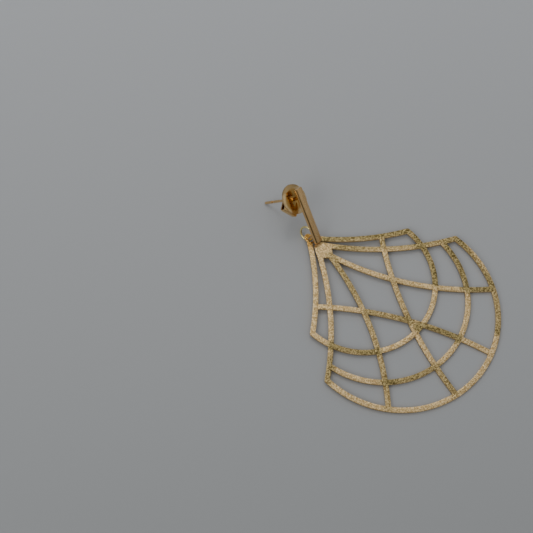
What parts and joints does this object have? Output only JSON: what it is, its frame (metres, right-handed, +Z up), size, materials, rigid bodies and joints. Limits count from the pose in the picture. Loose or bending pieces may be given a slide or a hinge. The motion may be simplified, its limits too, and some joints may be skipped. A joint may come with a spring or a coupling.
{
  "type": "earring",
  "caption": "Openwork fan earring on a jump ring, hung from a slim bar stud with a straight post and a slide-on ear nut.",
  "frame": {"origin": "centre of the footprint, on the surface that the earring lies on", "axes": "+Y along the earring from the fan's arc to the stud's post, +Z up from the surface, +X across the fan"},
  "size_m": [0.056, 0.0755, 0.0129],
  "materials": {
    "textured_gold": "gold plated, sandblasted sparkling face with smooth edges",
    "polished_gold": "gold plated, polished"
  },
  "bodies": {
    "earring": {"fan_plate": "textured_gold", "jump_ring": "polished_gold", "bar_stud": "polished_gold"},
    "nut": {"ear_nut": "polished_gold"}
  },
  "joints": [
    {"name": "nut_slide", "type": "slide", "parent": "earring", "child": "nut", "axis": [0.2616, -0.6505, 0.713], "range_m": [-0.005, 0.0018]}
  ]
}
